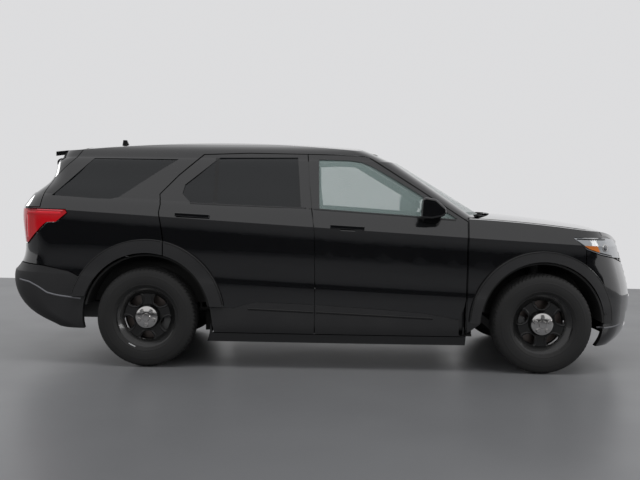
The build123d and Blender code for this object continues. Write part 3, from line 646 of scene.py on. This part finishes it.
class VEHICLE_OT_side_trim(bpy.types.Operator):
    """Lay thin trim on both sides: seals, glass dividers, arch lips, cladding strips, painted highlights,
    sensors.
    """
    bl_idname = "vehicle.side_trim"
    bl_label = "Side trim"

    def execute(self, context):
        on_side = side_finder(("body_sides", "front_fenders", "front_door", "rear_door", "quarter_windows",
                               "arch_mouldings", "front_bumper", "rear_bumper"))
        front_x, rear_x = AXLES["front"], AXLES["rear"]
        # name, path in X and Z, width, how proud, finish, body, slot
        rows = (
            ("front_belt_seal", [(-0.155, 1.232), (0.592, 1.189), (0.965, 1.163)], 0.012, 0.003, TRIM,
             "front_door_{}_leaf", "dark_trim"),
            ("rear_belt_seal", [(-1.060, 1.260), (-0.835, 1.252), (-0.175, 1.236)], 0.012, 0.003, TRIM,
             "rear_door_{}_leaf", "dark_trim"),
            ("rear_glass_divider", [(-0.873, 1.258), (-0.873, 1.612)], 0.030, 0.003, GLOSS_TRIM,
             "rear_door_{}_leaf", "dark_trim"),
            ("front_arch_lip", arc_path(front_x, 0.5525, -87, 87), 0.007, 0.002, GLOSS_TRIM,
             "body", "dark_trim"),
            ("rear_arch_lip", arc_path(rear_x, 0.5955, -73, 11), 0.007, 0.002, GLOSS_TRIM,
             "body", "dark_trim"),
            ("rear_door_arch_lip", arc_path(rear_x, 0.5955, 13.5, 79), 0.007, 0.002, GLOSS_TRIM,
             "rear_door_{}_leaf", "dark_trim"),
            ("rear_cladding_strip", [(-0.606, 0.462), (-0.106, 0.446)], 0.016, 0.002, GLOSS_TRIM,
             "rear_door_{}_leaf", "dark_trim"),
            ("front_cladding_strip", [(-0.088, 0.446), (0.800, 0.411)], 0.016, 0.002, GLOSS_TRIM,
             "front_door_{}_leaf", "dark_trim"),
            # Pale strips along the bumper splits are painted highlights, where light catches the step in
            # the bumper
            ("rear_bumper_edge", [(-2.390, 0.650), (-2.300, 0.636), (-2.230, 0.602), (-2.159, 0.556),
                                  (-2.100, 0.541), (-2.044, 0.532), (-1.895, 0.516)],
             0.012, 0.003, PAINTED_EDGE_HIGHLIGHT, "body", "dark_trim"),
            ("front_bumper_edge", [(2.085, 0.350), (2.200, 0.356), (2.300, 0.366)],
             0.012, 0.003, PAINTED_EDGE_HIGHLIGHT, "body", "dark_trim"),
        )
        for name, path, width, proud, mat, body, slot in rows:
            for side, sign in SIDES.items():
                x, z, crown = strip(path, width)
                piece = laid_on(name + "_" + side, x, z, sign, on_side, proud * crown, 0.004)
                finish(piece, mat, body.format(side), 40)
        for side, sign in SIDES.items():
            r = np.linspace(0.0002, 0.012, 5)[:, None]
            a = np.linspace(0, 2 * np.pi, 24)[None, :]
            x, z = SENSOR_X + r * np.sin(a), SENSOR_Z + r * np.cos(a)
            piece = laid_on("parking_sensor_" + side, x, z, sign, on_side, 0.002, 0.004)
            finish(piece, GLOSS_TRIM, "body", 40)
        return {"FINISHED"}


class VEHICLE_OT_lamps(bpy.types.Operator):
    """Dress the head lamps and tail lamps with frames, markers, projectors and light bars."""
    bl_idname = "vehicle.lamps"
    bl_label = "Lamps"

    def execute(self, context):
        on_lamp = side_finder(("headlamps", "tail_lamps"))
        # name, path in X and Z, width, finish, slot
        for name, path, width, mat, slot in (
            ("headlamp_top_frame", [(1.885, 1.036), (2.000, 1.033), (2.140, 1.028)], 0.010, GLOSS_TRIM,
             "dark_trim"),
            ("headlamp_foot_frame", [(1.880, 1.026), (1.972, 0.964), (2.086, 0.927), (2.200, 0.901)], 0.010,
             GLOSS_TRIM, "dark_trim"),
            ("tail_lamp_top_strip", [(-2.320, 1.193), (-2.030, 1.186)], 0.010, PALE_RED, "red_lens"),
            ("tail_lamp_light_bar", [(-2.320, 1.172), (-2.050, 1.168)], 0.020, BRIGHT_RED, "red_lens"),
            ("tail_lamp_upright_bar", [(-2.318, 1.150), (-2.322, 0.975)], 0.022, BRIGHT_RED, "red_lens"),
        ):
            for side, sign in SIDES.items():
                x, z, crown = strip(path, width)
                piece = laid_on(name + "_" + side, x, z, sign, on_lamp, 0.0022 * crown, 0.004)
                finish(piece, mat, "body", 40)
        for side, sign in SIDES.items():
            x, z = patch([(1.945, 0.984), (2.054, 0.982), (2.078, 0.934), (2.002, 0.952)])
            marker = laid_on("amber_marker_" + side, x, z, sign, on_lamp, 0.002, 0.004)
            finish(marker, AMBER, "body", 40)
            a = np.linspace(0, 2 * np.pi, 48)[None, :]
            # name, inner and outer radius, height of the dome, finish
            for name, low, high, dome, mat in (
                ("lamp_projector_ring_", 0.021, 0.029, 0.003, BRIGHT),
                ("lamp_projector_", 0.0003, 0.020, 0.006, PROJECTOR),
            ):
                r = np.linspace(low, high, 8)[:, None]
                x, z = SENSOR_X + r * np.sin(a), PROJECTOR_Z + r * np.cos(a)
                proud = 0.002 + dome * np.sqrt(np.clip(1 - (r / high) ** 2, 0, 1)) + 0 * a
                lens = laid_on(name + side, x, z, sign, on_lamp, proud, 0.010)
                finish(lens, mat, "body", 40)
        return {"FINISHED"}


class VEHICLE_OT_front_bars(bpy.types.Operator):
    """Set the bars and uprights into the grille."""
    bl_idname = "vehicle.front_bars"
    bl_label = "Grille bars"

    def execute(self, context):
        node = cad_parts["grille"]
        points = [node.matrix_world @ v.co for v in node.data.vertices]
        tree = BVHTree.FromPolygons(points, [tuple(p.vertices) for p in node.data.polygons])

        def depth(y, z):
            """X of the grille's face at a point, or nan where there is none."""
            hit = tree.ray_cast(Vector((3, y, z)), Vector((-1, 0, 0)))[0]
            return math.nan if hit is None else hit.x

        # Seven bars across, then thirteen uprights: Y, Z and how proud each column stands
        bars = []
        for z in np.linspace(0.600, 0.900, 7):
            reach = np.interp(z, (0.560, 0.800, 0.925), (0.530, 0.560, 0.538))
            heights = z + np.array([-0.007, -0.004, 0.004, 0.007])
            y, h = np.meshgrid(np.linspace(-reach, reach, 70), heights, indexing="ij")
            bars.append((y, h, np.array([0.004, 0.012, 0.012, 0.004])))
        for y0 in np.linspace(-0.48, 0.48, 13):
            across = y0 + np.array([-0.004, 0.0, 0.004])
            h, y = np.meshgrid(np.linspace(0.585, 0.910, 26), across, indexing="ij")
            bars.append((y, h, np.array([0.004, 0.008, 0.004])))
        objs = []
        for y, h, proud in bars:
            x = np.array([[depth(a, b) for a, b in zip(ra, rb)] for ra, rb in zip(y, h)])
            x = np.where(np.isnan(x), np.nanmedian(x, axis=1, keepdims=True), x)
            outer, inner = np.stack([x + proud, y, h], -1), np.stack([x - 0.002, y, h], -1)
            objs.append(slab("bar", outer, inner))
        finish(joined("grille_bars", objs), GLOSS_TRIM, "body", 40)
        return {"FINISHED"}


class VEHICLE_OT_mirror_glass(bpy.types.Operator):
    """Set the glass into each door mirror."""
    bl_idname = "vehicle.mirror_glass"
    bl_label = "Mirror glass"

    def execute(self, context):
        for side, sign in SIDES.items():
            centre, half = (0.6815, 1.059 * sign, 1.256), (0.0015, 0.061, 0.056)
            glass = rounded_box("mirror_glass_" + side, centre, half, 0, 9.0, 14)
            finish(glass, MIRROR, "front_door_" + side + "_leaf", 30)
        return {"FINISHED"}


class VEHICLE_OT_stage(bpy.types.Operator):
    """Make the floor, the lamps, the background and the camera."""
    bl_idname = "vehicle.stage"
    bl_label = "Stage"

    def execute(self, context):
        colours = context.scene.vehicle_colours
        u, v = np.meshgrid(np.linspace(-FLOOR_REACH, FLOOR_REACH, 3), np.linspace(WALL_Y, FLOOR_FAR_Y, 3),
                           indexing="ij")
        floor = surface("stage_floor", np.stack([u, v, 0 * u - 0.0005], -1))
        mat = material("floor_paint", tuple(colours.floor), rough=0.35, spread=0.1, scale=1.5, dusty=0.1,
                       dust=(0.6, 0.6, 0.6), dust_scale=0.6)
        floor.data.materials.append(mat)
        u, v = np.meshgrid(np.linspace(-WALL_REACH, WALL_REACH, 3), np.linspace(-0.0005, WALL_TOP, 3),
                           indexing="ij")
        wall = surface("stage_dark_wall", np.stack([u, 0 * u + WALL_Y, v], -1))
        mat = material("dark_wall_paint", (0.012, 0.012, 0.013), rough=0.8, spread=0.05, scale=2.0,
                       dusty=0.02, dust_scale=0.6)
        wall.data.materials.append(mat)
        wall.visible_camera = False
        # Rays seen, mirrored or let through meet the backdrop; the rest meet a dimmer, cooler light
        world = context.scene.world or bpy.data.worlds.new("World")
        context.scene.world = world
        world.use_nodes = True
        n, link = world.node_tree.nodes, world.node_tree.links.new
        n.clear()
        out = n.new("ShaderNodeOutputWorld")
        light = n.new("ShaderNodeBackground")
        light.inputs["Color"].default_value = (0.80, 0.84, 0.90, 1)
        light.inputs["Strength"].default_value = 0.62
        seen = n.new("ShaderNodeBackground")
        seen.inputs["Color"].default_value = (*colours.backdrop, 1)
        seen.inputs["Strength"].default_value = 1.0
        path = n.new("ShaderNodeLightPath")
        glossy = n.new("ShaderNodeMath")
        glossy.operation = "MAXIMUM"
        link(path.outputs["Is Camera Ray"], glossy.inputs[0])
        link(path.outputs["Is Glossy Ray"], glossy.inputs[1])
        through = n.new("ShaderNodeMath")
        through.operation = "MAXIMUM"
        link(glossy.outputs[0], through.inputs[0])
        link(path.outputs["Is Transmission Ray"], through.inputs[1])
        mix = n.new("ShaderNodeMixShader")
        link(through.outputs[0], mix.inputs[0])
        link(light.outputs[0], mix.inputs[1])
        link(seen.outputs[0], mix.inputs[2])
        link(mix.outputs[0], out.inputs["Surface"])
        # name, place, point aimed at, length and width, power in watts
        for name, place, aim, size, power in (
            ("key_lamp", (0.0, -2.5, 6.5), (0, 0, 0.6), (7.0, 2.2), 260),
            ("side_lamp", (-1.5, -9.5, 3.2), (0, 0, 0.8), (7.0, 1.4), 160),
            ("front_lamp", (9.0, -3.0, 3.5), (1.5, 0, 0.8), (3.0, 2.0), 110),
            ("rear_lamp", (-9.0, 4.0, 4.0), (-1.5, 0, 0.8), (3.0, 2.0), 90),
        ):
            data = bpy.data.lights.new(name, "AREA")
            data.shape = "RECTANGLE"
            data.size, data.size_y = size
            data.energy = power
            lamp = bpy.data.objects.new(name, data)
            context.scene.collection.objects.link(lamp)
            lamp.location = place
            lamp.visible_glossy = name not in ("key_lamp", "side_lamp")
            lamp.rotation_euler = (Vector(aim) - Vector(place)).to_track_quat("-Z", "Y").to_euler()
        data = bpy.data.cameras.new("photo_camera")
        data.sensor_width = SENSOR_WIDTH
        data.lens = FOCAL_PIXELS / PHOTO_WIDTH * SENSOR_WIDTH
        camera = bpy.data.objects.new("photo_camera", data)
        context.scene.collection.objects.link(camera)
        pitch, yaw, roll = (math.radians(a) for a in (CAMERA_PITCH, CAMERA_YAW, CAMERA_ROLL))
        level = math.cos(pitch)
        forward = Vector((math.sin(yaw) * level, math.cos(yaw) * level, -math.sin(pitch)))
        right = Vector((math.cos(yaw), -math.sin(yaw), 0))
        up = right.cross(forward)
        right, up = (math.cos(roll) * right + math.sin(roll) * up,
                     -math.sin(roll) * right + math.cos(roll) * up)
        turn = Matrix((right, up, -forward)).transposed()
        camera.matrix_world = Matrix.Translation(CAMERA_PLACE) @ turn.to_4x4()
        context.scene.camera = camera
        context.scene.view_settings.view_transform = "Standard"
        return {"FINISHED"}


class VEHICLE_PT_panel(bpy.types.Panel):
    """Lists the pieces that can be built."""
    bl_label = "Police Sport Utility Vehicle"
    bl_idname = "VEHICLE_PT_panel"
    bl_space_type = "VIEW_3D"
    bl_region_type = "UI"
    bl_category = "Vehicle"

    def draw(self, context):
        for prop in ("tread_depth", "cover_radius"):
            self.layout.prop(context.scene.vehicle_sizes, prop)
        for prop in ("backdrop", "floor"):
            self.layout.prop(context.scene.vehicle_colours, prop)
        for operator in OPERATORS:
            self.layout.operator(operator.bl_idname)


OPERATORS = (VEHICLE_OT_finishes, VEHICLE_OT_tyres, VEHICLE_OT_wheel_covers, VEHICLE_OT_wheel_details,
             VEHICLE_OT_seats, VEHICLE_OT_side_trim, VEHICLE_OT_lamps, VEHICLE_OT_front_bars,
             VEHICLE_OT_mirror_glass, VEHICLE_OT_stage)
CLASSES = (VehicleSizes, VehicleColours, *OPERATORS, VEHICLE_PT_panel)


def register():
    """Register the classes and their settings."""
    for cls in CLASSES:
        bpy.utils.register_class(cls)
    bpy.types.Scene.vehicle_sizes = bpy.props.PointerProperty(type=VehicleSizes)
    bpy.types.Scene.vehicle_colours = bpy.props.PointerProperty(type=VehicleColours)


def unregister():
    """Remove the settings and the classes."""
    del bpy.types.Scene.vehicle_sizes
    del bpy.types.Scene.vehicle_colours
    for cls in reversed(CLASSES):
        bpy.utils.unregister_class(cls)


def main():
    """Build every piece in order."""
    register()
    for operator in OPERATORS:
        group, name = operator.bl_idname.split(".")
        getattr(getattr(bpy.ops, group), name)()


if __name__ == "__main__":
    main()
